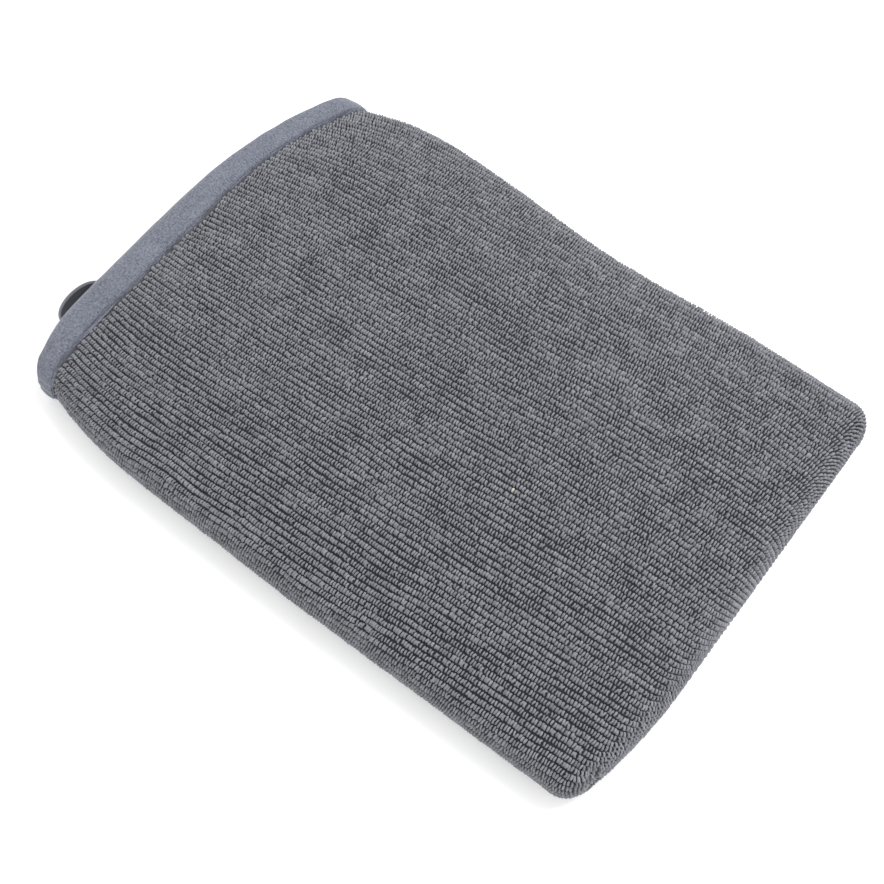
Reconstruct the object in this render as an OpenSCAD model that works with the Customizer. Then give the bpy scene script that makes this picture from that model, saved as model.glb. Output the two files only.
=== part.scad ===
// Wash mitt: a flat, padded hand mitt of looped microfibre terry, closed round three sides.
// The mitt lies on its back panel. +X runs from the mouth to the closed tip, +Y across the
// width and +Z up. The origin is the middle of the footprint, on the surface it lies on.

/* [Body] */
// Overall length, from the hanging loop to the closed tip
overall_l = 227.4; // [200:0.1:250]
// Overall width
overall_w = 157; // [130:0.5:180]
// Overall thickness, lying flat
overall_h = 22; // [20:0.5:28]
// Height of the side seam above the surface
seam_z = 9; // [9:0.1:10]
// Radius of the rounded rim
rim_r = 6.5; // [6:0.1:8]
// Plan radius of the two tip corners
corner_r = 10; // [9:0.5:16]
// How much higher the front is at its crest than at the rim
crown_h = 5; // [3:0.1:5.2]

/* [Mouth] */
// How far the hanging loop stands out past the mouth edge
loop_proud = 6.5; // [3:0.1:8]
// Width of the cuff binding, along the mitt
cuff_w = 12; // [9:0.5:16]
// Length of mitt that the elastic draws in, behind the cuff
draw_l = 44; // [30:1:60]
// How far each side is drawn in at the cuff seam
draw_in = 6.5; // [3:0.1:8]
// How far the mouth edge falls back at its near corner
bow_near = 5; // [0:0.5:8]
// How far the mouth edge falls back at its far corner
bow_far = 12; // [0:0.5:14]

/* [Layers] */
// Thickness of the terry, with its loop pile
terry_t = 3.4; // [2.5:0.1:4]
// Thickness of the foam sheet
foam_t = 2.6; // [1.5:0.1:3]
// Thickness of the inner lining
lining_t = 0.6; // [0.4:0.1:1]
// Thickness of the cuff's knitted strip
cuff_t = 1.5; // [1:0.1:2]
// Width of the elastic tape in the cuff
elastic_w = 7; // [5:0.5:7]
// Thickness of the elastic tape
elastic_t = 1.6; // [1:0.1:2]
// Diameter of the sewing thread lines
thread_d = 0.8; // [0.5:0.1:1]

/* [Hanging loop] */
// Width of the loop's ribbon
ribbon_w = 4; // [3:0.5:4]
// Thickness of the loop's ribbon
ribbon_t = 0.9; // [0.6:0.1:1.2]
// Length of the loop, from its sewn end to its outer end
loop_l = 18; // [14:0.5:22]
// Largest width of the loop
loop_w = 19; // [14:0.5:24]
// Where the loop is sewn, across the mouth
loop_y = -44; // [-46:1:-30]

/* [Hidden] */

tip_x = overall_l / 2;
mouth_x = -overall_l / 2 + loop_proud;
half_w = overall_w / 2;
seam_gap = 0.15;                 // half of the gap between the two halves at the side seam
layer_gap = 0.1;                 // clearance between two sewn layers
rise = overall_h - seam_z - crown_h;
wall_t = terry_t + foam_t + lining_t + 2 * layer_gap;
least_rim_r = 1.2;               // rim radius of the innermost layers
thread_room = 0.2;               // clearance on each side of the cuff's thread
cuff_seam_gap = thread_d + 2 * thread_room;
cuff_seam_x = mouth_x + cuff_w + cuff_seam_gap;
bow_reach = 66;                  // distance from the middle at which bow_near and bow_far hold
bow_power = 2.3;
crest_x = 20;                    // where the front is highest
crest_power = 3;                 // how late the crown falls away towards the rim
mouth_sag = 0.35;                // share of the crown that is gone at the mouth
ribbon_lift = 0.5;               // clearance between the back lining and the ribbon above it
tack_n = 6;                      // stitches in the bar that holds the loop
tack_l = 5;
tack_d = 0.7;
tack_pitch = 0.9;
tack_gap = 1;                    // from the loop's sewn end to the first stitch
tack_lift = 0.05;                // clearance between the back lining and the stitches
tack_facets = 24;

// Steps of the surface: round each rim, across the flat middle and along it
rim_steps = 5;
mid_steps = 10;
len_steps = 10;
// Steps round the cuff's fold, outside and inside
nose_steps = 6;
fold_steps = 4;
// Sides of the thread lines, and steps of the closing seam: along a side and round a corner
thread_sides = 6;
side_steps = 12;
corner_steps = 4;
// Where the loop's outline starts and ends, and its step, in degrees
loop_turn = 172;
loop_step = 8;

terry_colour = [0.42, 0.43, 0.45];
cuff_colour = [0.53, 0.55, 0.61];
ribbon_colour = [0.24, 0.25, 0.28];
thread_colour = [0.2, 0.2, 0.23];
foam_colour = [0.8, 0.8, 0.78];
lining_colour = [0.5, 0.52, 0.56];
elastic_colour = [0.88, 0.88, 0.87];

// Quarter-round profile of the rim: 0 at the edge and 1 from rim_r inwards.
function rim_profile(d, r) = d >= r ? 1 : sqrt(max(0, 1 - pow(1 - max(d, 0) / r, 2)));

// How far the mouth edge falls back from its middle, at a distance y across the mitt.
function mouth_bow(y) = (y < 0 ? bow_near : bow_far) * pow(abs(y) / bow_reach, bow_power);

// How far the elastic draws the side in at x.
function drawn(x) = draw_in * pow(max(0, cuff_seam_x + draw_l - x) / draw_l, 2);

// Half the width at x, for a layer whose edge is inset from the outside.
function half_width(x, inset) =
    let (r = corner_r - inset / 2, u = max(0, x - (tip_x - inset - r)))
    half_w - inset - drawn(x) - r + sqrt(max(0, r * r - u * u));

function rim_radius(inset) = max(rim_r - inset, least_rim_r);

// Share of the crown at x, and at v times the half width from the middle.
function crown_share(x, v) =
    let (u = (x - crest_x) / ((x > crest_x ? tip_x : mouth_x) - crest_x))
    (1 - pow(abs(v), crest_power)) * (1 - (x > crest_x ? pow(u, crest_power) : mouth_sag * u * u));

// Height of a layer's surface above the seam. side is 1 on the front and -1 on the back.
function surface_h(x, v, d_side, d_tip, inset, side) =
    let (r = rim_radius(inset),
         edge = (side > 0 ? rise : seam_z) - inset,
         crown = side > 0 ? crown_h * crown_share(x, v) : 0)
    (edge + crown) * rim_profile(d_side, r) * rim_profile(d_tip, r);

// How far in from the edge step k of a rim lies. Equal angles keep nested layers apart.
function rim_in(k, r) = r * (1 - cos(90 * k / rim_steps));

// y of the steps across a layer of half width w. first is its outermost step of the rim.
function across(w, r, first) =
    let (rim = [for (k = [first:rim_steps]) w - rim_in(k, r)])
    concat(
        [for (y = rim) -y],
        [for (k = [1:mid_steps - 1]) (w - r) * (2 * k / mid_steps - 1)],
        [for (k = [len(rim) - 1:-1:0]) rim[k]]
    );

// x of the steps along a layer that starts at the cuff and ends at x = end. One step lies
// halfway between the start of the plan corner and the rim.
function along(end, r, first) = concat(
    [for (k = [0:len_steps]) cuff_seam_x + (end - corner_r - cuff_seam_x) * k / len_steps],
    [end - (corner_r + r) / 2],
    [for (k = [rim_steps:-1:first]) end - rim_in(k, r)]
);

// Points of a layer's surface, row by row from the cuff to the tip.
function layer_grid(inset, side, first) =
    let (end = tip_x - inset, r = rim_radius(inset))
    [
        for (x = along(end, r, first))
            let (w = half_width(x, inset), bow = (end - x) / (end - cuff_seam_x))
            for (y = across(w, r, first))
                let (h = surface_h(x, y / w, w - abs(y), end - x, inset, side))
                [x + mouth_bow(y) * bow, y, seam_z + side * max(h, seam_gap)]
    ];

// Both triangles of one cell in a grid whose rows hold row_n points. flip turns them over.
function cell(a, row_n, flip) =
    let (b = a + 1, c = a + row_n + 1, d = a + row_n)
    flip ? [[a, c, b], [a, d, c]] : [[a, b, c], [a, c, d]];

// Both triangles of one cell in the strip that closes a shell between edge points p and q.
function strip(p, q, below) = [[p, q, q + below], [p, q + below, p + below]];

// A curved layer between two surfaces, open at the mouth and closed at the rim and the tip.
module layer(inset, thickness, side, first = 0) {
    steps_y = 2 * (rim_steps - first) + mid_steps;
    steps_x = len_steps + 2 + rim_steps - first;
    row_n = steps_y + 1;
    below = row_n * (steps_x + 1);
    last = row_n * steps_x;
    points = concat(
        layer_grid(inset, side, first),
        layer_grid(inset + thickness, side, first)
    );
    skins = [
        for (i = [0:steps_x - 1], j = [0:steps_y - 1], low = [0, 1])
            each cell(i * row_n + j + low * below, row_n, low == 1)
    ];
    ends = [
        for (j = [0:steps_y - 1])
            each concat(strip(j + 1, j, below), strip(last + j, last + j + 1, below))
    ];
    sides = [
        for (i = [0:steps_x - 1])
            each concat(
                strip(i * row_n, (i + 1) * row_n, below),
                strip((i + 1) * row_n + steps_y, i * row_n + steps_y, below)
            )
    ];
    faces = concat(skins, ends, sides);
    polyhedron(points, side > 0 ? [for (f = faces) [f[2], f[1], f[0]]] : faces, convexity = 6);
}

// Points of the arch that the mouth makes at x, at a depth inside the outer surface.
function arch(x, depth, side) =
    let (w = half_width(x, depth))
    [
        for (y = across(w, rim_radius(depth), 0))
            let (h = surface_h(x, y / w, w - abs(y), rim_r, depth, side))
            [x + mouth_bow(y), y, seam_z + side * max(h, seam_gap)]
    ];

// A closed outline of [x, depth] points swept along the arch, from one side seam to the other.
module arch_sweep(outline, side) {
    n = len(outline);
    arches = [for (p = outline) arch(p[0], p[1], side)];
    arch_steps = len(arches[0]) - 1;
    points = [for (k = [0:arch_steps], row = arches) row[k]];
    walls = [
        for (k = [0:arch_steps - 1], i = [0:n - 1])
            let (a = k * n + i, b = k * n + (i + 1) % n)
            each [[a, b, b + n], [a, b + n, a + n]]
    ];
    caps = [
        [for (i = [n - 1:-1:0]) i],
        [for (i = [0:n - 1]) arch_steps * n + i]
    ];
    faces = concat(walls, caps);
    polyhedron(points, side > 0 ? faces : [for (f = faces) [for (i = [len(f) - 1:-1:0]) f[i]]],
               convexity = 8);
}

// Points round half an ellipse that bulges towards the mouth.
function nose(x, depth, rx, rd, n) = [
    for (k = [0:n]) [x - rx * sin(180 * k / n), depth - rd * cos(180 * k / n)]
];

module front_terry_panel() {
    color(terry_colour) layer(0, terry_t, 1);
}

module back_terry_panel() {
    color(terry_colour) layer(0, terry_t, -1);
}

// The foam stops one step short of the side seam, clear of its thread.
module front_foam_pad() {
    color(foam_colour) layer(terry_t + layer_gap, foam_t, 1, 1);
}

module back_foam_pad() {
    color(foam_colour) layer(terry_t + layer_gap, foam_t, -1, 1);
}

module front_lining() {
    color(lining_colour) layer(wall_t - lining_t, lining_t, 1);
}

module back_lining() {
    color(lining_colour) layer(wall_t - lining_t, lining_t, -1);
}

// The strip is folded over the elastic, so its section is a C that opens towards the panels.
module cuff(side) {
    fold_x = mouth_x + wall_t / 2;
    open_x = mouth_x + cuff_w;
    inner_r = wall_t / 2 - cuff_t;
    outline = concat(
        [[open_x, 0]],
        nose(fold_x, wall_t / 2, wall_t / 2, wall_t / 2, nose_steps),
        [[open_x, wall_t], [open_x, wall_t - cuff_t]],
        [for (p = nose(fold_x, -wall_t / 2, inner_r, inner_r, fold_steps)) [p[0], -p[1]]],
        [[open_x, cuff_t]]
    );
    color(cuff_colour) arch_sweep(outline, side);
}

module cuff_elastic(side) {
    fold_x = mouth_x + wall_t / 2;
    open_x = fold_x + elastic_w;
    low = (wall_t - elastic_t) / 2;
    high = (wall_t + elastic_t) / 2;
    outline = [[open_x, low], [fold_x, low], [fold_x, high], [open_x, high]];
    color(elastic_colour) arch_sweep(outline, side);
}

module cuff_seam(side) {
    x_mid = cuff_seam_x - cuff_seam_gap / 2;
    outline = [
        for (a = [0:360 / thread_sides:359])
            [x_mid - thread_d / 2 * sin(a), wall_t / 2 - thread_d / 2 * cos(a)]
    ];
    color(thread_colour) arch_sweep(outline, side);
}

// The line of stitching that closes the near side, the tip and the far side.
module closing_seam() {
    inset = terry_t + layer_gap + foam_t / 2;
    start_x = cuff_seam_x + thread_d;
    end_x = tip_x - inset;
    r = corner_r - inset / 2;
    near_xs = [
        for (k = [0:side_steps]) start_x + (end_x - r - start_x) * k / side_steps,
        for (k = [1:corner_steps]) end_x - r + r * sin(90 * k / corner_steps)
    ];
    near = [for (x = near_xs) [x, -half_width(x, inset)]];
    far = [for (k = [len(near) - 1:-1:0]) [near[k][0], -near[k][1]]];
    path = [
        for (p = concat(near, far))
            [p[0] + mouth_bow(p[1]) * (end_x - p[0]) / (end_x - start_x), p[1]]
    ];
    color(thread_colour) flat_tube(path, thread_d, seam_z);
}

// A six-sided tube along a path of [x, y] points at height z.
module flat_tube(path, d, z) {
    n = thread_sides;
    last = len(path) - 1;
    points = [
        for (k = [0:last])
            let (t = path[min(k + 1, last)] - path[max(k - 1, 0)], u = [-t[1], t[0]] / norm(t))
            for (a = [0:360 / n:359])
                [path[k][0] + u[0] * d / 2 * cos(a), path[k][1] + u[1] * d / 2 * cos(a),
                 z + d / 2 * sin(a)]
    ];
    walls = [
        for (k = [0:last - 1], i = [0:n - 1])
            let (a = k * n + i, b = k * n + (i + 1) % n)
            each [[a, b, b + n], [a, b + n, a + n]]
    ];
    caps = [[for (i = [n - 1:-1:0]) i], [for (i = [0:n - 1]) last * n + i]];
    polyhedron(points, concat(walls, caps), convexity = 6);
}

// Plan of the loop: a teardrop, pinched where it is sewn and round at its outer end.
function loop_outline(shrink) =
    let (l = loop_l - 2 * shrink,
         w = loop_w / 2 - shrink,
         widest = 4 / (3 * sqrt(3)))  // largest value of sin(a) * cos(a / 2)
    [
        for (a = [-loop_turn:loop_step:loop_turn])
            [-tip_x + shrink + l * (1 - cos(a)) / 2, loop_y + w * sin(a) * cos(a / 2) / widest]
    ];

module hanging_loop() {
    color(ribbon_colour)
        translate([0, 0, wall_t + ribbon_lift])
            linear_extrude(height = ribbon_w)
                difference() {
                    polygon(loop_outline(0));
                    polygon(loop_outline(ribbon_t));
                }
}

// A short bar of close thread passes over the lining where the two ends of the loop are sewn.
module loop_bartack() {
    tack_x = -tip_x + loop_l + tack_gap;
    for (k = [0:tack_n - 1])
        color(thread_colour)
            translate([tack_x + k * tack_pitch, loop_y - tack_l / 2, wall_t + tack_lift + tack_d / 2])
                rotate([-90, 0, 0])
                    cylinder(h = tack_l, d = tack_d, $fn = tack_facets);
}

front_terry_panel();
back_terry_panel();
front_foam_pad();
back_foam_pad();
front_lining();
back_lining();
cuff(1);  // front_cuff
cuff(-1);  // back_cuff
cuff_elastic(1);  // front_cuff_elastic
cuff_elastic(-1);  // back_cuff_elastic
cuff_seam(1);  // front_cuff_seam
cuff_seam(-1);  // back_cuff_seam
closing_seam();
hanging_loop();
loop_bartack();
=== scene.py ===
"""Looks of the wash mitt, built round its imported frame: terry, cuff, lining, padding and loop.

The mitt is treated as a sleeve of cloth closed round the frame's box. Every layer is cut from
that sleeve by how deep it lies, how far it is from the cuff and how far round from the near seam
it is, so that the layers nest and meet at the seams.
"""

import math
from collections import namedtuple

import bmesh
import bpy
import numpy as np
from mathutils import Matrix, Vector


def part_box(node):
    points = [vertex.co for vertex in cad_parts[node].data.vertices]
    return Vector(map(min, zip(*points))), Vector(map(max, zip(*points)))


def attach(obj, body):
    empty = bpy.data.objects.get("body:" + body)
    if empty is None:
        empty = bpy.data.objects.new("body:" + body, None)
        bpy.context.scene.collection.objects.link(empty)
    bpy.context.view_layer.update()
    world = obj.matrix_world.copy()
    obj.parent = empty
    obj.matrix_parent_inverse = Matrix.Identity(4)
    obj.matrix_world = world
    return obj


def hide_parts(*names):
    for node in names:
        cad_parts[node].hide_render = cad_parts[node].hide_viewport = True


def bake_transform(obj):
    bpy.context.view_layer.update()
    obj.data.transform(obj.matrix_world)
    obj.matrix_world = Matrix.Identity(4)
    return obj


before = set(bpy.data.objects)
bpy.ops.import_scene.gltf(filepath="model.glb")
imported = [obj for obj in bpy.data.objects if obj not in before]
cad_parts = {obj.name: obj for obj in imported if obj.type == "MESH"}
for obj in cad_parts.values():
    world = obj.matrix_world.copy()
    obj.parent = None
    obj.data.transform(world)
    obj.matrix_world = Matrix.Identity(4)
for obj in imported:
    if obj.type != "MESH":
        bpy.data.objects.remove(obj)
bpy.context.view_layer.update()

MM = 0.001
TINY = 1e-12


# ---------------------------------------------------------------- sizes

front_low, front_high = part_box("front_terry_panel")
back_low, back_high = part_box("back_terry_panel")
cuff_low, cuff_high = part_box("front_cuff")
elastic_low, elastic_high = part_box("front_cuff_elastic")
loop_low, loop_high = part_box("hanging_loop")
tack_low, tack_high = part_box("loop_bartack")

TIP_X = front_high.x
HALF_W = front_high.y
TOP_Z = front_high.z
SEAM_Z = (front_low.z + back_high.z) / 2
MOUTH_BACK = 1.1 * MM
MOUTH_X = cuff_low.x + MOUTH_BACK
CUFF_END_X = cuff_high.x
PANEL_X = front_low.x

# The sleeve's section, as in the frame's solids
RIM_R = 6.5 * MM
LEAST_RIM_R = 1.2 * MM
CROWN = 5 * MM
CROWN_POWER = 3
CREST_X = 20 * MM
MOUTH_SAG = 0.35
TERRY_T = 3.4 * MM
FOAM_T = 2.6 * MM
LINING_T = 0.6 * MM
LAYER_GAP = 0.1 * MM
WALL_T = TERRY_T + FOAM_T + LINING_T + 2 * LAYER_GAP
CUFF_T = 1.5 * MM
ELASTIC_T = 1.6 * MM

# The plan of its two sides. Each is drawn in at the cuff and slimmer over part of its length
DRAW_L = 44 * MM
DRAW_POWER = 2.5
NEAR_DRAW = 5.2 * MM
FAR_DRAW = 7.4 * MM
CORNER_R = 9 * MM
NEAR_TAPER = 2.4 * MM
NEAR_TAPER_X = 10 * MM
FAR_IN = 1.1 * MM
FAR_DENT = 3.0 * MM
FAR_DENT_X = 10 * MM
FAR_DENT_L = 38 * MM

# How far an edge falls back beside a side seam, from how far in it starts, and how sharply
Bow = namedtuple("Bow", "depth reach power")
MOUTH_NEAR = Bow(6 * MM, 22 * MM, 1.8)
MOUTH_FAR = Bow(14.2 * MM, 70 * MM, 2.2)
CUFF_NEAR = Bow(2 * MM, 10 * MM, 2)
CUFF_FAR = Bow(12 * MM, 60 * MM, 2.2)
TIP_NEAR = Bow(4.5 * MM, 36 * MM, 1.8)

# The side seams are rolled: down on the near side, and up on the far side beside the cuff
NEAR_ROLL = -5 * MM
FAR_ROLL = 5.5 * MM
FAR_ROLL_END = 12 * MM
FAR_ROLL_L = 75 * MM

# The knit
ROW_PITCH = 1.96 * MM
LOOP_PITCH = 0.93 * MM
KNIT_SKEW = math.radians(3)
PILE_H = 1.25 * MM
GROUND_T = 0.8 * MM


# ---------------------------------------------------------------- the sleeve

SECTION_STEPS = 400
STATION_STEPS = 2000


def rim_profile(d, r):
    """Quarter-round profile: 0 at the edge and 1 from r inwards."""
    return np.sqrt(1 - np.square(1 - np.clip(d / r, 0, 1)))


def smooth_step(x, start, length):
    t = np.clip((x - start) / length, 0, 1)
    return t * t * (3 - 2 * t)


def crown_share(x, v):
    """Share of the front's crown at x, and at v times the half width from the middle."""
    ahead = x > CREST_X
    u = np.abs(x - CREST_X) / np.where(ahead, TIP_X - CREST_X, CREST_X - MOUTH_X)
    return (1 - np.abs(v) ** CROWN_POWER) * (1 - np.where(ahead, u ** CROWN_POWER, MOUTH_SAG * u ** 2))


def corner_width(x, inset):
    """Half the width at x of a layer, without what its sides are drawn in. A deeper layer turns
    the tip's corners a little more sharply."""
    r = CORNER_R - inset / 2
    u = max(0.0, x - (TIP_X - inset - r))
    return HALF_W - inset - r + math.sqrt(max(0.0, r * r - u * u))


def edges(x, inset):
    """y of the near and far edge at x, for a layer that lies inset inside the outside."""
    drawn = min(1.0, max(0.0, PANEL_X + DRAW_L - x) / DRAW_L) ** DRAW_POWER
    taper = NEAR_TAPER * max(0.0, x - NEAR_TAPER_X) / (TIP_X - NEAR_TAPER_X)
    dent = FAR_DENT * math.exp(-((x - FAR_DENT_X) / FAR_DENT_L) ** 2)
    half = corner_width(x, inset)
    return NEAR_DRAW * drawn + taper - half, half - FAR_IN - FAR_DRAW * drawn - dent


def bow(shape, d):
    """How far an edge falls back at a distance d from the side seam."""
    return shape.depth * np.clip(1 - d / shape.reach, 0, 1) ** shape.power


def section_cut(x, inset, d_tip, front, parts, mouth_share, cuff_share):
    """Points at equal steps of cloth, from the near seam to the far one, over or under the mitt.
    The shares say how much of the mouth edge's and the cuff edge's bows the points take."""
    near, far = edges(x, inset)
    half = (far - near) / 2
    y = (near + far) / 2 - half * np.cos(np.linspace(0, math.pi, SECTION_STEPS + 1))
    v = 2 * (y - near) / (far - near) - 1
    r = max(RIM_R - inset, LEAST_RIM_R)
    tip_rim = rim_profile(np.array(d_tip), r)
    rim = rim_profile(half * (1 - np.abs(v)), r) * tip_rim
    top = SEAM_Z + (TOP_Z - SEAM_Z - inset - CROWN * (1 - crown_share(x, v))) * rim
    under = SEAM_Z - (SEAM_Z - inset) * rim
    outline = np.concatenate([np.stack([y, top], 1), np.stack([y, under], 1)[-2::-1]])
    step = np.linalg.norm(np.diff(outline, axis=0), axis=1)
    round_at = np.concatenate([[0], np.cumsum(step)])
    far_roll = FAR_ROLL * (1 - smooth_step(x, FAR_ROLL_END - FAR_ROLL_L, FAR_ROLL_L))
    start = NEAR_ROLL * tip_rim
    end = step[:SECTION_STEPS].sum() - far_roll * tip_rim
    if not front:
        start += round_at[-1]
    at = np.mod(np.linspace(start, end, parts + 1), round_at[-1])
    y = np.interp(at, round_at, outline[:, 0])
    z = np.interp(at, round_at, outline[:, 1])
    d_near = y - near
    d_far = far - y
    back = mouth_share * (bow(MOUTH_NEAR, d_near) + bow(MOUTH_FAR, d_far))
    back += cuff_share * (bow(CUFF_NEAR, d_near) + bow(CUFF_FAR, d_far))
    back -= (1 - mouth_share - cuff_share) ** 2 * bow(TIP_NEAR, d_near)
    return np.stack([x + back, y, z], 1)


def panel_grid(inset, front, along, across):
    """Grid of points on a panel in equal steps of cloth both ways, and the panel's length."""
    end = TIP_X - inset
    x = np.linspace(PANEL_X, end, STATION_STEPS + 1)
    height = TOP_Z - SEAM_Z - CROWN * (1 - crown_share(x, 0)) if front else SEAM_Z
    drop = (height - inset) * rim_profile(end - x, max(RIM_R - inset, LEAST_RIM_R))
    run = np.concatenate([[0], np.cumsum(np.hypot(np.diff(x), np.diff(drop)))])
    stations = np.interp(np.linspace(0, run[-1], along + 1), run, x)
    share = (end - stations) / (end - PANEL_X)
    grid = [section_cut(x, inset, end - x, front, across, 0, s) for x, s in zip(stations, share)]
    return np.array(grid), run[-1]


def arch_grid(outline, front, across):
    """An outline of points, each a distance from the mouth edge and a depth, swept along the
    arch that one half of the mouth makes."""
    length = PANEL_X - MOUTH_X
    grid = [
        section_cut(MOUTH_X + x, depth, RIM_R, front, across, 1 - x / length, x / length)
        for x, depth in outline
    ]
    return np.array(grid).transpose(1, 0, 2)


# ---------------------------------------------------------------- fields on grids

def smooth_noise(shape, cells, seed):
    """Smooth random field from -1 to 1 with about cells[0] by cells[1] bumps."""
    out = np.random.default_rng(seed).uniform(-1, 1, (cells[0] + 3, cells[1] + 3))
    for axis in (0, 1):
        t = np.linspace(0, cells[axis], shape[axis])
        i = t.astype(int)
        f = (t - i) ** 2 * (3 - 2 * (t - i))
        f = f[:, None] if axis == 0 else f[None, :]
        out = np.take(out, i, axis) * (1 - f) + np.take(out, i + 1, axis) * f
    return out


def unit(vectors):
    return vectors / np.maximum(np.linalg.norm(vectors, axis=-1, keepdims=True), TINY)


def normals_of(grid, front):
    """Unit normals of a grid, away from the inside of the mitt."""
    n = unit(np.cross(np.gradient(grid, axis=0), np.gradient(grid, axis=1)))
    middle = n[grid.shape[0] // 2, grid.shape[1] // 2, 2]
    return n if (middle > 0) == front else -n


def sample(field, s, f):
    """Values of a grid at cloth coordinates, which run from 0 to 1 both ways."""
    rows, cols = field.shape[:2]
    a = np.clip(s, 0, 1) * (rows - 1)
    b = np.clip(f, 0, 1) * (cols - 1)
    i = np.minimum(a.astype(int), rows - 2)
    j = np.minimum(b.astype(int), cols - 2)
    p = (a - i)[..., None]
    q = (b - j)[..., None]
    low = field[i, j] * (1 - p) + field[i + 1, j] * p
    high = field[i, j + 1] * (1 - p) + field[i + 1, j + 1] * p
    return low * (1 - q) + high * q


def resampled(field, rows, cols):
    s, f = np.meshgrid(np.linspace(0, 1, rows), np.linspace(0, 1, cols), indexing="ij")
    return sample(field, s, f)


# ---------------------------------------------------------------- meshes

def mesh_object(name, points, corners, sizes, materials):
    """A smooth object from points and from faces given as one run of corner numbers."""
    mesh = bpy.data.meshes.new(name)
    mesh.vertices.add(len(points))
    mesh.vertices.foreach_set("co", np.ascontiguousarray(points, np.float32).ravel())
    mesh.loops.add(len(corners))
    mesh.loops.foreach_set("vertex_index", np.ascontiguousarray(corners, np.int32))
    mesh.polygons.add(len(sizes))
    starts = np.concatenate([[0], np.cumsum(sizes)[:-1]])
    mesh.polygons.foreach_set("loop_start", starts.astype(np.int32))
    mesh.polygons.foreach_set("use_smooth", np.ones(len(sizes), bool))
    mesh.update(calc_edges=True)
    mesh.validate()
    for material in materials:
        mesh.materials.append(material)
    obj = bpy.data.objects.new(name, mesh)
    bpy.context.scene.collection.objects.link(obj)
    return obj


def face_outwards(obj):
    """Turns a closed mesh's faces so that they all look outwards."""
    bm = bmesh.new()
    bm.from_mesh(obj.data)
    bmesh.ops.recalc_face_normals(bm, faces=bm.faces)
    bm.to_mesh(obj.data)
    bm.free()
    return obj


def quads(rows, cols, closed_cols=False):
    """Corner numbers of the cells of a grid with that many rows and columns of points."""
    i, j = np.meshgrid(np.arange(rows - 1), np.arange(cols if closed_cols else cols - 1),
                       indexing="ij")
    after = (j + 1) % cols
    corners = [i * cols + j, (i + 1) * cols + j, (i + 1) * cols + after, i * cols + after]
    return np.stack(corners, -1).reshape(-1, 4)


def shell(name, outer, inner, material):
    """A closed thin layer between two grids of the same size."""
    rows, cols = outer.shape[:2]
    ids = np.arange(rows * cols).reshape(rows, cols)
    ring = np.concatenate([ids[0, :-1], ids[:-1, -1], ids[-1, :0:-1], ids[:0:-1, 0]])
    after = np.roll(ring, -1)
    below = rows * cols
    top = quads(rows, cols)
    edge = np.stack([ring, after, after + below, ring + below], 1)
    faces = np.concatenate([top, top[:, ::-1] + below, edge])
    points = np.concatenate([outer.reshape(-1, 3), inner.reshape(-1, 3)])
    return face_outwards(
        mesh_object(name, points, faces.ravel(), np.full(len(faces), 4), [material])
    )


def tube(name, rings, materials):
    """A closed tube through rings of points."""
    rows, cols = rings.shape[:2]
    body = quads(rows, cols, closed_cols=True)
    ends = np.concatenate([np.arange(cols)[::-1], (rows - 1) * cols + np.arange(cols)])
    corners = np.concatenate([body.ravel(), ends])
    sizes = np.concatenate([np.full(len(body), 4), [cols, cols]])
    return face_outwards(mesh_object(name, rings.reshape(-1, 3), corners, sizes, materials))


# ---------------------------------------------------------------- loops and stitches

# How far an arch of yarn turns to either side of its top, and how square its shoulders are
ARCH_TURN = math.radians(112)
ARM_POWER = 0.75
RISE_POWER = 0.6

LOOP_RINGS = 5
LOOP_SIDES = 6
YARN_R = 0.34 * MM

THREAD_R = 0.22 * MM
STITCH_W = 0.5 * MM
STITCH_H = 0.45 * MM
STITCH_LEAN = 0.1

Lay = namedtuple("Lay", "place across along up")


def turned(lay, yaw):
    """The same places with their directions turned about the normal."""
    c = np.cos(yaw)[:, None]
    s = np.sin(yaw)[:, None]
    return Lay(lay.place, lay.across * c + lay.along * s, lay.along * c - lay.across * s, lay.up)


def arches(lay, width, depth, height, lean, yarn_r=YARN_R):
    """Points of small arches of yarn, whose ends go into the cloth on both sides."""
    turn = np.linspace(-ARCH_TURN, ARCH_TURN, LOOP_RINGS)
    arm = np.sign(np.sin(turn)) * np.abs(np.sin(turn)) ** ARM_POWER
    rise = np.sign(np.cos(turn)) * np.abs(np.cos(turn)) ** RISE_POWER
    around = (np.arange(LOOP_SIDES) + 0.5) * 2 * math.pi / LOOP_SIDES
    thick = yarn_r * np.cos(around)
    a = (width / 2 - yarn_r)[:, None, None] * arm[:, None] + thick * np.sin(turn)[:, None]
    n = (height - yarn_r)[:, None, None] * rise[:, None] + thick * np.cos(turn)[:, None]
    b = (depth / 2)[:, None, None] * np.sin(around) + np.tan(lean)[:, None, None] * n
    return (lay.place[:, None, None, :] + a[..., None] * lay.across[:, None, None, :]
            + b[..., None] * lay.along[:, None, None, :] + n[..., None] * lay.up[:, None, None, :])


def arches_object(name, points, pick, materials):
    """One object from the points of many arches, with the material that each one picks."""
    count = len(points)
    size = LOOP_RINGS * LOOP_SIDES
    body = quads(LOOP_RINGS, LOOP_SIDES, closed_cols=True)
    ends = [np.arange(LOOP_SIDES)[::-1], size - LOOP_SIDES + np.arange(LOOP_SIDES)]
    corners = np.concatenate([body.ravel(), *ends])[None] + size * np.arange(count)[:, None]
    sizes = np.concatenate([np.full(len(body), 4), np.full(2, LOOP_SIDES)])
    obj = mesh_object(name, points.reshape(-1, 3), corners.ravel(), np.tile(sizes, count), materials)
    obj.data.polygons.foreach_set("material_index", np.repeat(pick, len(sizes)).astype(np.int32))
    return obj


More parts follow.
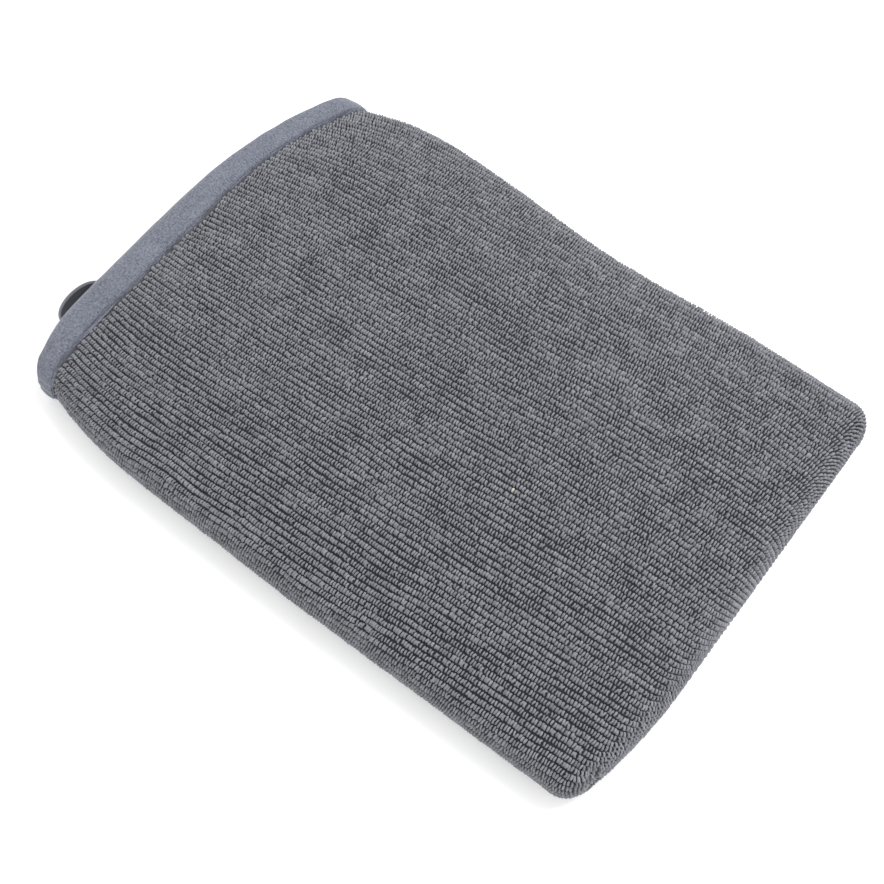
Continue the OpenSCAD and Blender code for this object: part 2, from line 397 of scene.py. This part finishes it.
def stitches(name, path, up, pitch, material):
    """A line of stitches along a path, each going down into the cloth at both ends."""
    run = np.concatenate([[0], np.cumsum(np.linalg.norm(np.diff(path, axis=0), axis=1))])
    at = np.arange(pitch / 2, run[-1], pitch)
    count = len(at)
    place = np.stack([np.interp(at, run, path[:, k]) for k in range(3)], 1)
    normal = unit(np.stack([np.interp(at, run, up[:, k]) for k in range(3)], 1))
    ahead = np.stack([np.interp(at + pitch / 4, run, path[:, k]) for k in range(3)], 1) - place
    ahead = unit(ahead - normal * (ahead * normal).sum(1, keepdims=True))
    lay = Lay(place, ahead, np.cross(normal, ahead), normal)
    random = np.random.default_rng(count)
    length = pitch * random.uniform(0.8, 0.9, count)
    lean = random.normal(0, STITCH_LEAN, count)
    points = arches(lay, length, np.full(count, STITCH_W), np.full(count, STITCH_H), lean, THREAD_R)
    return arches_object(name, points, np.zeros(count), [material])


# ---------------------------------------------------------------- materials

# How much a cloth's fuzz counts beside its threads, and how far its tone spreads from the middle
FUZZ = 2.0
TONE_BELOW = 0.15
TONE_ABOVE = 2.15


def new_material(name, roughness, sheen, specular):
    material = bpy.data.materials.new(name)
    material.use_nodes = True
    shader = material.node_tree.nodes["Principled BSDF"]
    shader.inputs["Roughness"].default_value = roughness
    shader.inputs["Specular IOR Level"].default_value = specular
    shader.inputs["Sheen Weight"].default_value = sheen
    shader.inputs["Sheen Roughness"].default_value = 0.5
    return material, material.node_tree, shader


def add_node(tree, kind, inputs, **settings):
    """A node with its settings, and its inputs either linked or set."""
    node = tree.nodes.new(kind)
    for key, value in settings.items():
        setattr(node, key, value)
    for key, value in inputs.items():
        if isinstance(value, bpy.types.NodeSocket):
            tree.links.new(value, node.inputs[key])
        else:
            node.inputs[key].default_value = value
    return node


def display_colour(r, g, b):
    """Linear colour from display values of 0 to 255."""
    levels = [c / 255 for c in (r, g, b)]
    return [c / 12.92 if c <= 0.04045 else ((c + 0.055) / 1.055) ** 2.4 for c in levels] + [1.0]


def scaled(colour, factor):
    return [c * factor for c in colour[:3]] + [1.0]


def thread_bands(tree, place, pitch, direction):
    """Wavy bands, one to each thread of that pitch. A wave texture of scale 1 repeats every
    pi / 10."""
    return add_node(tree, "ShaderNodeTexWave", {
        "Vector": place, "Scale": math.pi / 10 / pitch, "Distortion": 1.2, "Detail": 2.0,
        "Detail Scale": 2.0
    }, bands_direction=direction).outputs["Fac"]


def cloth_material(name, colour, thread, relief, mottle=0.3, sheen=0.3, weave=1.0, cloud=1.5):
    """Knitted or woven cloth: two sets of threads, fuzz, and a mottled colour."""
    material, tree, shader = new_material(name, 0.9, sheen, 0.15)
    place = add_node(tree, "ShaderNodeTexCoord", {}).outputs["Object"]
    bands = add_node(tree, "ShaderNodeMath", {
        0: thread_bands(tree, place, thread, "X"), 1: thread_bands(tree, place, thread, "Y")
    }, operation="ADD").outputs[0]
    threads = add_node(tree, "ShaderNodeMath", {0: bands, 1: weave}, operation="MULTIPLY").outputs[0]
    fuzz = add_node(tree, "ShaderNodeTexNoise", {
        "Vector": place, "Scale": 0.8 / thread, "Detail": 5.0, "Roughness": 0.75
    }).outputs["Fac"]
    patches = add_node(tree, "ShaderNodeTexNoise", {
        "Vector": place, "Scale": 0.06 / thread, "Detail": 4.0, "Roughness": 0.6
    }).outputs["Fac"]
    height = add_node(tree, "ShaderNodeMath", {0: fuzz, 1: FUZZ, 2: threads},
                      operation="MULTIPLY_ADD").outputs[0]
    tone = add_node(tree, "ShaderNodeMath", {0: patches, 1: cloud, 2: height},
                    operation="MULTIPLY_ADD").outputs[0]
    middle = weave + cloud / 2
    ramp = add_node(tree, "ShaderNodeMapRange", {
        "Value": tone, "From Min": middle - TONE_BELOW, "From Max": middle + TONE_ABOVE,
        "To Min": 1 - mottle, "To Max": 1 + mottle
    }).outputs["Result"]
    tint = add_node(tree, "ShaderNodeVectorMath", {0: colour[:3], "Scale": ramp},
                    operation="SCALE").outputs["Vector"]
    tree.links.new(tint, shader.inputs["Base Color"])
    bump = add_node(tree, "ShaderNodeBump", {
        "Height": height, "Strength": 0.5, "Distance": relief
    })
    tree.links.new(bump.outputs["Normal"], shader.inputs["Normal"])
    return material


def yarn_material(name, colour):
    """Microfibre yarn of one shade. The pile's colour varies from loop to loop."""
    material, _, shader = new_material(name, 0.9, 0.25, 0.1)
    shader.inputs["Base Color"].default_value = colour
    return material


YARN = display_colour(125, 126.5, 132)
YARN_SHADES = (0.78, 0.9, 1.0, 1.1, 1.22)
MIDDLE_YARN = len(YARN_SHADES) // 2
PALE_YARN = len(YARN_SHADES)

yarn_looks = [yarn_material(f"yarn_{i}", scaled(YARN, f)) for i, f in enumerate(YARN_SHADES)]
yarn_looks.append(yarn_material("yarn_pale", display_colour(190, 184, 174)))
# The ground cloth's near-black colour is painted shade: it makes the gaps between the loops darker than
# their own shadow does
ground_painted_shade_look = cloth_material("terry_ground", display_colour(46, 47, 52), 0.5 * MM, 0.15 * MM)
cuff_look = cloth_material("brushed_knit", display_colour(107.5, 111.5, 123), 0.45 * MM, 0.25 * MM,
                           mottle=2.1, weave=0.15, cloud=0.2)
lining_look = cloth_material("lining_knit", display_colour(112, 115, 124), 0.7 * MM, 0.12 * MM)
foam_look = cloth_material("foam", display_colour(205, 204, 198), 0.9 * MM, 0.3 * MM, sheen=0)
elastic_look = cloth_material("elastic", display_colour(225, 224, 220), 0.6 * MM, 0.2 * MM)
ribbon_look = cloth_material("grosgrain", display_colour(66, 68, 75), 0.35 * MM, 0.08 * MM)
# Pale ribbon edges: painted highlight, standing for light caught on the ribbon's edges
edge_highlight_look = cloth_material("ribbon_edge", display_colour(122, 124, 129), 0.35 * MM, 0.08 * MM)
thread_look = cloth_material("thread", display_colour(58, 60, 70), 0.2 * MM, 0.05 * MM)


# ---------------------------------------------------------------- camera

# The camera looks down, from this direction and distance, at a point on top of the front panel
AZIMUTH = math.radians(38.07)
ELEVATION = math.radians(65.67)
DISTANCE = 0.4053
TARGET = Vector((TIP_X - 98.1 * MM, -15.6 * MM, TOP_Z))


def add_camera():
    back = Vector((math.sin(AZIMUTH) * math.cos(ELEVATION),
                   -math.cos(AZIMUTH) * math.cos(ELEVATION), math.sin(ELEVATION)))
    camera = bpy.data.objects.new("camera", bpy.data.cameras.new("camera"))
    camera.data.sensor_width = 36
    camera.data.lens = 55.84
    camera.data.clip_start = 0.01
    camera.location = TARGET + back * DISTANCE
    camera.rotation_euler = back.to_track_quat("Z", "Y").to_euler()
    bpy.context.scene.collection.objects.link(camera)
    bpy.context.scene.camera = camera


# ---------------------------------------------------------------- how the padding swells the cloth

# The net that is simulated, at ten times its size, and how firmly its points are held
SWELL_ROWS = 108
SWELL_COLS = 80
SWELL_SCALE = 10
SWELL_HELD = 0.2
SWELL_BENDING = 0.2
SWELL_PRESSURE = 4
SWELL_GROWTH = 0.03
SWELL_FRAMES = 20

# Share of its movement that is kept, and the most that is kept
SWELL_KEPT = 0.3
SWELL_MOST = 1.2 * MM


def swell(front):
    """How far each point of a panel moves as the padding swells it and its seams pucker."""
    grid, _ = panel_grid(PILE_H, front, SWELL_ROWS - 1, SWELL_COLS - 1)
    faces = quads(SWELL_ROWS, SWELL_COLS)
    net = mesh_object("settling_net", grid.reshape(-1, 3) * SWELL_SCALE, faces.ravel(),
                      np.full(len(faces), 4), [])
    ids = np.arange(len(net.data.vertices)).reshape(SWELL_ROWS, SWELL_COLS)
    border = np.concatenate([ids[0], ids[-1], ids[:, 0], ids[:, -1]])
    held = net.vertex_groups.new(name="held")
    held.add(ids.ravel().tolist(), SWELL_HELD, "REPLACE")
    held.add(border.tolist(), 1.0, "REPLACE")
    cloth = net.modifiers.new("cloth", "CLOTH")
    settings = cloth.settings
    settings.bending_stiffness = SWELL_BENDING
    settings.use_pressure = True
    settings.uniform_pressure_force = SWELL_PRESSURE if front else -SWELL_PRESSURE
    settings.vertex_group_mass = "held"
    settings.shrink_min = -SWELL_GROWTH
    settings.shrink_max = -SWELL_GROWTH
    settings.effector_weights.gravity = 0
    cloth.point_cache.frame_start = 1
    cloth.point_cache.frame_end = SWELL_FRAMES
    for step in range(1, SWELL_FRAMES + 1):
        bpy.context.scene.frame_set(step)
    settled = net.evaluated_get(bpy.context.evaluated_depsgraph_get()).data
    points = np.empty(len(settled.vertices) * 3, np.float32)
    settled.vertices.foreach_get("co", points)
    bpy.data.objects.remove(net)
    bpy.context.scene.frame_set(1)
    moved = points.reshape(grid.shape) / SWELL_SCALE - grid
    moved *= SWELL_KEPT
    reach = np.linalg.norm(moved, axis=2, keepdims=True)
    return moved * np.minimum(1, SWELL_MOST / np.maximum(reach, TINY))


# ---------------------------------------------------------------- terry

TERRY_SEED = {"front": 11, "back": 31}
PANEL_ROWS = 200
PANEL_COLS = 150
LOOPS_IN_PIECE = 3500

# The short pinched fold beside the near tip corner
FOLD_AT = (TIP_X - 6.8 * MM, -65.5 * MM)
FOLD_SIZE = (1.3 * MM, 2.8 * MM)
FOLD_DEPTH = 1.9 * MM

# How far rows wander, in row pitches: in long waves, in short ones and by chance
ROW_WANDER = 0.2
ROW_WOBBLE = 0.06
ROW_CHANCE = 0.045
SEAM_ROW_CHANCE = 0.04

# How far loops slip along a row, in loop pitches: from row to row, smoothly and by chance
ROW_OFFSET = 0.37
LOOP_SLIP = 0.3
LOOP_CHANCE = 0.05

# The share of a panel's length that has loops
PILE_END = 0.998

# How far in from a side seam the first row of loops stands, and how many rows' width the others
# keep clear of it
NEAR_MARGIN = 0.9 * MM
FAR_MARGIN = 1.15 * MM
SEAM_CLEAR = 0.6

# A loop's size as shares of the row pitch, the loop pitch and the pile's height: its middle, how
# far a smooth field changes it, and how far chance does
Spread = namedtuple("Spread", "middle field chance")
LOOP_WIDE = Spread(0.9, -0.14, 0.03)
LOOP_DEEP = Spread(0.72, -0.19, 0.05)
LOOP_HIGH = Spread(0.88, 0.09, 0.05)

# Degrees by which loops twist, on average and by chance, and lean by chance
LOOP_YAW = 3
LOOP_YAW_CHANCE = 7
LOOP_TILT_CHANCE = 8

# Shades by which loops differ from the middle one, and how many loops there are to each pale one
SHADE_FIELD = 0.5
SHADE_CHANCE = 0.9
LOOPS_TO_A_PALE_ONE = 9000

# Share of the pile's height that is pressed flat where the cloth turns down at the rim
RIM_FLAT = 0.45

# Least height of the pile and of its ground above the floor
REST_GAP = 0.05 * MM
GROUND_REST = 0.4 * MM


def follow_both(obj):
    """Cloth of the sleeve, with its place baked into its mesh; it is not attached to either half."""
    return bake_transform(obj)


def corner_fold(place):
    """Depth of the short pinched fold beside the near tip corner."""
    along = (place[..., 0] - FOLD_AT[0]) / FOLD_SIZE[0]
    across = (place[..., 1] - FOLD_AT[1]) / FOLD_SIZE[1]
    return FOLD_DEPTH * np.exp(-along ** 2 - across ** 2)[..., None]


def terry_lay(grid, front, s, f):
    """Where loops stand at cloth coordinates, and the directions of the knit there."""
    up = unit(sample(normals_of(grid, front), s, f))
    along = sample(unit(np.gradient(grid, axis=0)), s, f)
    along = unit(along - up * (along * up).sum(1, keepdims=True))
    return turned(Lay(sample(grid, s, f), np.cross(up, along), along, up), np.full(len(s), -KNIT_SKEW))


def knit_places(random, full, length, seed):
    """Cloth coordinates of every loop of a panel, and the values of four smooth fields there."""
    skew = math.tan(KNIT_SKEW) * length / full
    rows = int((1 + skew) * full / ROW_PITCH) + 2
    per_row = int(length / LOOP_PITCH)
    shape = (rows, per_row)
    row, place = np.meshgrid(np.arange(rows), np.arange(per_row), indexing="ij")
    wave = ROW_WANDER * smooth_noise(shape, (rows // 6, 14), seed + 1)
    wave += ROW_WOBBLE * smooth_noise(shape, (rows, 60), seed + 2)
    slip = LOOP_SLIP * smooth_noise(shape, (rows // 3, 30), seed + 3)
    cells = ((rows, per_row // 6), (rows, per_row // 5), (rows, per_row // 4), (rows // 2, per_row // 7))
    fields = np.stack([smooth_noise(shape, c, seed + 4 + i) for i, c in enumerate(cells)], -1)
    offset = ROW_OFFSET * row % 1
    s = (place + 0.5 + offset + slip + random.normal(0, LOOP_CHANCE, shape)) / per_row
    f = (row + 0.5 + wave + random.normal(0, ROW_CHANCE, shape)) * ROW_PITCH / full - skew * (1 - s)
    first = NEAR_MARGIN / full
    last = 1 - FAR_MARGIN / full
    clear = SEAM_CLEAR * ROW_PITCH / full
    keep = (f > first + clear) & (f < last - clear) & (s > 0) & (s < PILE_END)
    at_seam = np.repeat([first, last], per_row)
    at_seam += random.normal(0, SEAM_ROW_CHANCE, 2 * per_row) * ROW_PITCH / full
    s = np.concatenate([s[keep], np.tile((np.arange(per_row) + 0.5) / per_row, 2)])
    f = np.concatenate([f[keep], at_seam])
    return s, f, np.concatenate([fields[keep], fields[1], fields[-2]])


def spread(random, size, field):
    """Shares round the middle of a size, changed by a field and by chance."""
    return size.middle + size.field * field + random.normal(0, size.chance, len(field))


def terry_pile(side, grid, length, seed):
    """The pile of one panel: rows of loops, in bundles that each make one piece."""
    random = np.random.default_rng(seed)
    widths = np.linalg.norm(np.diff(grid, axis=1), axis=2).sum(1)
    full = widths[len(widths) // 2]
    s, f, fields = knit_places(random, full, length, seed)
    open_row, open_loop, tall, shade = fields.T
    count = len(s)
    squeeze = np.interp(s, np.linspace(0, 1, len(widths)), widths) / full
    width = ROW_PITCH * squeeze * spread(random, LOOP_WIDE, open_row)
    depth = LOOP_PITCH * spread(random, LOOP_DEEP, open_loop)
    height = PILE_H * spread(random, LOOP_HIGH, tall)
    yaw = np.radians(random.normal(LOOP_YAW, LOOP_YAW_CHANCE, count))
    lay = turned(terry_lay(grid, side == "front", s, f), yaw)
    height *= 1 - RIM_FLAT * (1 - np.abs(lay.up[:, 2]))
    lean = np.radians(random.normal(0, LOOP_TILT_CHANCE, count))
    points = arches(lay, width, depth, height, lean)
    if side == "front":
        points -= (lay.up * corner_fold(lay.place))[:, None, None, :]
    points[..., 2] = np.maximum(points[..., 2], REST_GAP)
    pick = np.round(MIDDLE_YARN + SHADE_FIELD * shade + random.normal(0, SHADE_CHANCE, count))
    pick = np.clip(pick, 0, PALE_YARN - 1)
    pick[random.random(count) < 1 / LOOPS_TO_A_PALE_ONE] = PALE_YARN
    for n, part in enumerate(np.array_split(np.arange(count), -(-count // LOOPS_IN_PIECE)), 1):
        pile = arches_object(f"{side}_terry_pile_{n}", points[part], pick[part], yarn_looks)
        follow_both(pile)


def terry_panel(side):
    """Ground cloth of one panel, as a closed thin layer, with its pile."""
    front = side == "front"
    moved = resampled(swell(front), PANEL_ROWS + 1, PANEL_COLS + 1)
    grid, length = panel_grid(PILE_H, front, PANEL_ROWS, PANEL_COLS)
    inner, _ = panel_grid(PILE_H + GROUND_T, front, PANEL_ROWS, PANEL_COLS)
    grid = grid + moved
    inner = inner + moved
    pinch = normals_of(grid, front) * corner_fold(grid) * front
    outer = grid - pinch
    inner = inner - pinch
    outer[..., 2] = np.maximum(outer[..., 2], GROUND_REST)
    inner[..., 2] = np.maximum(inner[..., 2], GROUND_REST + GROUND_T)
    # The ground's dark colour is painted shade in the gaps between the loops
    ground = shell(f"{side}_terry_ground", outer, inner, ground_painted_shade_look)
    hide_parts(f"{side}_terry_panel")
    follow_both(ground)
    terry_pile(side, grid, length, TERRY_SEED[side])


# ---------------------------------------------------------------- layers inside

LAYER_STEPS = 60


def inner_layer(side, name, inset, thickness, look, skipped=0):
    """A sewn-in layer behind the terry, from the cuff to the tip, without its first rows. Also
    its width in the middle and its length, both along the cloth."""
    front = side == "front"
    outer, length = panel_grid(inset, front, LAYER_STEPS, LAYER_STEPS)
    inner, _ = panel_grid(inset + thickness, front, LAYER_STEPS, LAYER_STEPS)
    layer = shell(f"{side}_{name}", outer[skipped:], inner[skipped:], look)
    follow_both(layer)
    width = np.linalg.norm(np.diff(outer[LAYER_STEPS // 2], axis=0), axis=1).sum()
    return layer, width, length


def foam_pad(side):
    """The foam starts a row behind the cuff's seam, which keeps the seam thin."""
    pad, _, _ = inner_layer(side, "foam_layer", TERRY_T + LAYER_GAP, FOAM_T, foam_look, 1)
    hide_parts(f"{side}_foam_pad")


def lining(side):
    cloth, width, length = inner_layer(side, "lining_cloth", WALL_T - LINING_T, LINING_T,
                                       lining_look)
    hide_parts(f"{side}_lining")


# ---------------------------------------------------------------- cuff

CUFF_SEED = {"front": 41, "back": 51}

# Steps along the cuff and its parts, and points on each stretch of its section
CUFF_STEPS = 800
SEAM_STEPS = 400
ELASTIC_STEPS = 160
LIP_POINTS = 20
BAND_POINTS = 24
NOSE_STEPS = 16
LOWER_STEPS = 11

# The skin: its padded band, the groove that the seam pulls in, and where it tucks under the terry
BAND_BULGE = 0.25 * MM
GROOVE_X = PANEL_X - MOUTH_X - 0.95 * MM
GROOVE_W = 0.35 * MM
GROOVE_DEPTH = 0.9 * MM
LIP_L = 1.2 * MM
SKIN_END_X = PANEL_X - MOUTH_X - 0.15 * MM
TUCK_L = 0.4 * MM

# The cuff's seam allowance, a tongue that goes in under the terry
TONGUE_L = 1.5 * MM
TONGUE_DEPTH = PILE_H + GROUND_T + 0.25 * MM
TONGUE_T = 0.7 * MM

# Small puckers that the seam's stitches pull into the cuff
PUCKER_PITCH = 1.1 * MM
PUCKER_DEPTH = 0.3 * MM
PUCKER_VARIES = 0.35
PUCKER_DRIFT = 1.5 * MM
PUCKER_BACK = 1.6 * MM
PUCKER_L = 0.8 * MM

CUFF_STITCH_PITCH = 2.4 * MM
CUFF_STITCH_DEPTH = 1.2 * MM

# Where the seam sinks deeper, in front of the hanging loop
HOLLOW_Y = (loop_low.y + loop_high.y) / 2 - 4 * MM
HOLLOW_W = 8 * MM
HOLLOW_BACK = 0.4 * MM
HOLLOW_L = 0.9 * MM
HOLLOW_DEPTH = 0.9 * MM

# Soft creases all along the band, and deeper ones where it turns at the near corner
CREASE_H = 0.18 * MM
CORNER_CREASE_H = 0.45 * MM
CORNER_CREASE_L = 9 * MM


def cuff_skin():
    """Depth of the cuff's outer skin from the terry to its nose: a narrow lip beside the terry,
    the groove that its seam pulls in, and a padded band."""
    start = WALL_T / 2
    beside = GROOVE_X - LIP_L
    x = np.concatenate([np.linspace(SKIN_END_X, beside, LIP_POINTS),
                        np.linspace(beside, start, BAND_POINTS)[1:]])
    band = np.clip((x - start) / (GROOVE_X - start), 0, 1)
    bulge = -BAND_BULGE * np.sin(math.pi * band)
    groove = GROOVE_DEPTH * np.exp(-((x - GROOVE_X) / GROOVE_W) ** 2)
    tuck = TONGUE_DEPTH * smooth_step(x, SKIN_END_X - TUCK_L, TUCK_L)
    return np.stack([x, bulge + groove + tuck], 1)


def cuff_outline():
    """The folded strip's closed section: outer skin, nose, lower skin, then back inside it."""
    half = WALL_T / 2
    turn = np.linspace(0, math.pi, NOSE_STEPS + 1)[1:]
    nose = np.stack([half - half * np.sin(turn), half - half * np.cos(turn)], 1)
    bare = half - CUFF_T
    hollow = np.stack([half - bare * np.sin(turn), half + bare * np.cos(turn)], 1)
    open_x = CUFF_END_X - MOUTH_X
    low_x = np.linspace(half, open_x, LOWER_STEPS + 1)[1:]
    low = np.stack([low_x, np.full(LOWER_STEPS, WALL_T)], 1)
    inside = [[open_x, WALL_T - CUFF_T], [half, WALL_T - CUFF_T]]
    tongue = PANEL_X - MOUTH_X + TONGUE_L
    under = [[tongue, TONGUE_DEPTH + TONGUE_T], [tongue, TONGUE_DEPTH]]
    return np.concatenate([cuff_skin(), nose, low, inside, hollow, under])


def cuff_relief(outline, grid, near, seed):
    """How far the cuff's skin stands out: puckers and a hollow beside the seam, and creases."""
    x = outline[:, 0]
    y = grid[:, 0, 1]
    rows = len(y)
    skin = np.clip(1 - outline[:, 1] / (WALL_T / 2), 0, 1)
    run = np.cumsum(np.linalg.norm(np.gradient(grid[:, 0], axis=0), axis=1))
    drift = PUCKER_DRIFT * smooth_noise((rows, 1), (30, 1), seed)[:, 0]
    pucker = np.clip(np.cos(2 * math.pi * (run + drift) / PUCKER_PITCH), 0, 1) ** 2
    varied = PUCKER_VARIES * smooth_noise((rows, 1), (40, 1), seed + 1)[:, 0]
    pucker *= PUCKER_DEPTH * (1 - PUCKER_VARIES + varied)
    beside = np.exp(-((x - GROOVE_X + PUCKER_BACK) / PUCKER_L) ** 2)
    hollow = np.exp(-((x - GROOVE_X + HOLLOW_BACK) / HOLLOW_L) ** 2)
    deep = HOLLOW_DEPTH * np.exp(-((y - HOLLOW_Y) / HOLLOW_W) ** 2)
    crease = smooth_noise((rows, len(x)), (34, 4), seed + 2)
    corner = np.exp(-((y - near) / CORNER_CREASE_L) ** 2)
    folds = smooth_noise((rows, len(x)), (90, 3), seed + 3) * corner[:, None]
    stand = (CREASE_H * crease + CORNER_CREASE_H * folds) * skin
    return stand - pucker[:, None] * beside - deep[:, None] * hollow


def cuff(side):
    """The binding of one half of the mouth."""
    front = side == "front"
    outline = cuff_outline()
    grid = arch_grid(outline, front, CUFF_STEPS)
    n = unit(np.cross(np.gradient(grid, axis=0), np.gradient(grid, axis=1)))
    on_skin = len(cuff_skin()) // 2
    if (n[CUFF_STEPS // 2, on_skin, 2] > 0) != front:
        n = -n
    relief = cuff_relief(outline, grid, edges(MOUTH_X, 0)[0], CUFF_SEED[side])
    points = grid + n * relief[..., None]
    points[..., 2] = np.maximum(points[..., 2], REST_GAP)
    band = tube(f"{side}_cuff_binding", points, [cuff_look])
    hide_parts(f"{side}_cuff")
    follow_both(band)


def cuff_stitches(side):
    """Stitches at the bottom of the cuff's groove, on the middle one of three lines."""
    front = side == "front"
    outline = [[GROOVE_X + x, CUFF_STITCH_DEPTH] for x in (-0.5 * MM, 0, 0.5 * MM)]
    line = arch_grid(outline, front, SEAM_STEPS)
    up = normals_of(line.transpose(1, 0, 2), front).transpose(1, 0, 2)
    seam = stitches(f"{side}_cuff_stitches", line[:, 1], up[:, 1], CUFF_STITCH_PITCH, thread_look)
    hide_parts(f"{side}_cuff_seam")
    follow_both(seam)


def cuff_elastic(side):
    """Elastic tape inside the fold of the cuff."""
    front = side == "front"
    start = elastic_low.x - MOUTH_X
    end = elastic_high.x - MOUTH_X
    low = (WALL_T - ELASTIC_T) / 2
    high = (WALL_T + ELASTIC_T) / 2
    outline = [[end, low], [start, low], [start, high], [end, high]]
    rings = arch_grid(outline, front, ELASTIC_STEPS)
    tape = tube(f"{side}_elastic_tape", rings, [elastic_look])
    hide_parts(f"{side}_cuff_elastic")
    follow_both(tape)


# ---------------------------------------------------------------- closing seam

CLOSING_PITCH = 2.6 * MM
CLOSING_ROWS = 240
CLOSING_COLS = 40


def closing_stitches():
    """Stitches between the two panels, round the near side, the tip and the far side."""
    grid, _ = panel_grid(PILE_H + GROUND_T, True, CLOSING_ROWS, CLOSING_COLS)
    up = normals_of(grid, True)
    path, out = (
        np.concatenate([field[:, 0], field[-1, 1:-1], field[::-1, -1]]) for field in (grid, up)
    )
    seam = stitches("closing_stitches", path, out, CLOSING_PITCH, thread_look)
    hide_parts("closing_seam")
    follow_both(seam)


# ---------------------------------------------------------------- hanging loop

RIBBON_T = 0.9 * MM
RIBBON_TURN = 172
RIBBON_POINTS = 420
RIB_PITCH = 0.55 * MM
RIB_H = 0.07 * MM

# The edge bands, painted pale as a painted highlight of the ribbon's lit edges, how far they are
# rounded, and how far the lower one leans inwards
HIGHLIGHT_EDGE_W = 0.6 * MM
EDGE_ROUND = 0.25 * MM
LOOP_LEAN = 2.2 * MM


def ribbon_path():
    """Plan of the loop, as in the frame: a teardrop, pinched where it is sewn."""
    a = np.radians(np.linspace(-RIBBON_TURN, RIBBON_TURN, RIBBON_POINTS))
    length = loop_high.x - loop_low.x - RIBBON_T
    width = loop_high.y - loop_low.y - RIBBON_T
    share = np.sin(a) * np.cos(a / 2)
    x = loop_low.x + RIBBON_T / 2 + length * (1 - np.cos(a)) / 2
    y = (loop_low.y + loop_high.y) / 2 + width / 2 * share / share.max()
    return np.stack([x, y], 1)


def hanging_loop():
    """A narrow ribbon on its edge, bent into a loop, with ribs across it, and its top and bottom edges
    painted pale as a painted highlight.
    """
    path = ribbon_path()
    ahead = unit(np.gradient(path, axis=0))
    side = np.stack([-ahead[:, 1], ahead[:, 0]], 1)
    run = np.concatenate([[0], np.cumsum(np.linalg.norm(np.diff(path, axis=0), axis=1))])
    rib = RIB_H * np.cos(run / RIB_PITCH * 2 * math.pi)[:, None]
    high = loop_high.z - loop_low.z
    levels = np.array([0, EDGE_ROUND, HIGHLIGHT_EDGE_W])
    levels = np.concatenate([levels, high - levels[::-1]])
    share = np.array([0.5, 0.95, 1.0, 1.0, 0.95, 0.5])
    half = (RIBBON_T / 2 - 2 * RIB_H) * share + rib * (share > 0.9)
    z = np.broadcast_to(loop_low.z + levels, half.shape)[..., None]
    free = (tack_low.x - path[:, 0]) / (tack_low.x - loop_low.x)
    shift = -side[:, None] * (LOOP_LEAN * (1 - levels / high) * free[:, None] ** 2)[..., None]
    left = np.concatenate([path[:, None] + shift + side[:, None] * half[..., None], z], 2)
    right = np.concatenate([path[:, None] + shift - side[:, None] * half[..., None], z], 2)
    ribbon = tube("loop_ribbon", np.concatenate([left, right[:, ::-1]], 1),
                  [ribbon_look, edge_highlight_look])
    # Faces near the top and bottom edges take the pale material, a painted highlight
    height = np.array([face.center.z for face in ribbon.data.polygons]) - loop_low.z
    pale = np.minimum(height, high - height) < HIGHLIGHT_EDGE_W - 0.1 * MM
    ribbon.data.polygons.foreach_set("material_index", pale.astype(np.int32))
    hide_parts("hanging_loop")
    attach(ribbon, "loop")


TACK_STITCHES = 9
TACK_LIFT = 0.1 * MM
TACK_STITCH_W = 0.55 * MM
TACK_STITCH_H = 0.5 * MM
TACK_THREAD_R = 0.2 * MM


def bartack():
    """A bar of close stitches that holds the loop's ends down."""
    count = TACK_STITCHES
    x = np.linspace(tack_low.x, tack_high.x, count)
    y = np.full(count, (tack_low.y + tack_high.y) / 2)
    place = np.stack([x, y, np.full(count, tack_low.z + TACK_LIFT)], 1)
    ones = np.ones((count, 1))
    lay = Lay(place, ones * [0, 1, 0], ones * [1, 0, 0], ones * [0, 0, 1])
    random = np.random.default_rng(5)
    length = (tack_high.y - tack_low.y) * random.uniform(0.85, 1, count)
    points = arches(lay, length, np.full(count, TACK_STITCH_W), np.full(count, TACK_STITCH_H),
                    np.zeros(count), TACK_THREAD_R)
    bar = arches_object("bartack_stitches", points, np.zeros(count), [thread_look])
    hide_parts("loop_bartack")
    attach(bar, "back_half")


# ---------------------------------------------------------------- floor and light

FLOOR_SIZE = 6
FLOOR_Z = -0.2 * MM


def add_floor():
    """A pale floor that reaches past every view."""
    bpy.ops.mesh.primitive_plane_add(size=FLOOR_SIZE, location=(0, 0, FLOOR_Z))
    floor = bpy.context.object
    floor.name = "floor"
    material, _, shader = new_material("floor_paper", 0.9, 0, 0.1)
    shader.inputs["Base Color"].default_value = (0.93, 0.93, 0.93, 1)
    shader.inputs["Emission Color"].default_value = (1, 1, 1, 1)
    shader.inputs["Emission Strength"].default_value = 0.2
    floor.data.materials.append(material)


def add_lamp(name, place, size, power):
    light = bpy.data.lights.new(name, "AREA")
    light.size = size
    light.energy = power
    lamp = bpy.data.objects.new(name, light)
    lamp.location = place
    lamp.rotation_euler = Vector(place).to_track_quat("Z", "Y").to_euler()
    bpy.context.scene.collection.objects.link(lamp)


def add_light():
    """Soft light from all round, a large lamp above the far side, and a weak one at the tip."""
    world = bpy.data.worlds.new("studio")
    world.use_nodes = True
    world.node_tree.nodes["Background"].inputs["Color"].default_value = (1, 1, 1, 1)
    world.node_tree.nodes["Background"].inputs["Strength"].default_value = 1.0
    bpy.context.scene.world = world
    add_lamp("key", (0.2, 0.45, 0.8), 0.5, 5.5)
    add_lamp("fill", (0.7, -0.3, 0.7), 0.7, 0.6)
    bpy.context.scene.view_settings.view_transform = "Standard"


# ---------------------------------------------------------------- the mitt

add_camera()
for half in ("front", "back"):
    terry_panel(half)
    foam_pad(half)
    lining(half)
    cuff(half)
    cuff_stitches(half)
    cuff_elastic(half)
closing_stitches()
hanging_loop()
bartack()
add_floor()
add_light()
